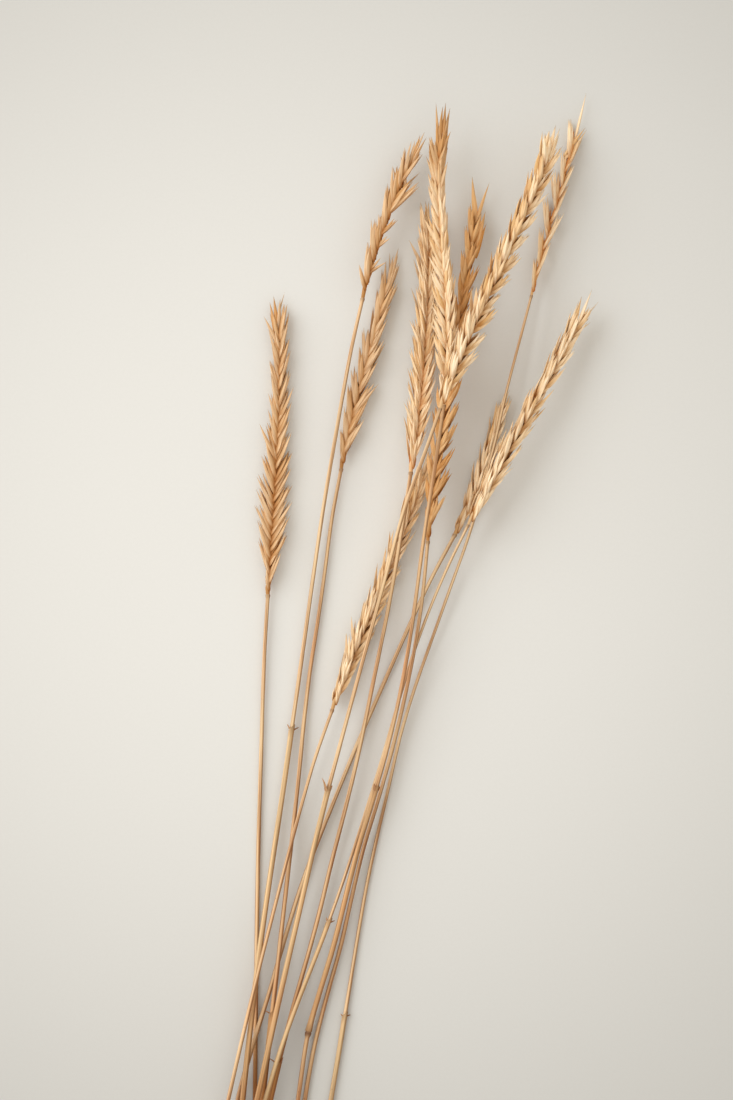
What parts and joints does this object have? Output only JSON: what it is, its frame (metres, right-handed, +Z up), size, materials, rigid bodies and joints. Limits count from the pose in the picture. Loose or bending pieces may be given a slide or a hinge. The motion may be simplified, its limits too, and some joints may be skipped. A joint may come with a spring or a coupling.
{
  "type": "bundle of dried wheat",
  "caption": "Loose bunch of dried grain stalks lying flat: thin bent straw stems crossing one another, each ending in a slender ear of overlapping pointed husks.",
  "frame": {"origin": "on the surface that the bunch lies on, under the middle of its bounding box", "axes": "+Y along the stalks from their cut ends to the ears, +X to the right seen from above with the ears away, +Z up"},
  "size_m": [0.1622, 0.4756, 0.0304],
  "materials": {
    "straw": "dry golden straw, smooth with a slight sheen, fine lengthwise grain",
    "husk": "dry papery husks, golden tan with paler edges and browner roots, matt",
    "brown_husk": "dry papery husks, reddish brown, matt"
  },
  "bodies": {
    "root": {"stem_far_left": "straw", "ear_far_left": "husk", "stem_right_under": "straw", "ear_right_under": "husk", "stem_left_inner": "straw", "ear_left_inner": "husk", "stem_left_outer": "straw", "ear_left_outer": "husk", "stem_low": "straw", "ear_low": "husk", "stem_slim_right": "straw", "ear_slim_right": "husk", "stem_middle_left": "straw", "ear_middle_left": "husk", "stem_right": "straw", "ear_right": "husk", "stem_middle_brown": "straw", "ear_middle_brown": "brown_husk", "stem_middle_tall": "straw", "ear_middle_tall": "husk", "stem_diagonal": "straw", "ear_diagonal": "husk"}
  },
  "joints": []
}
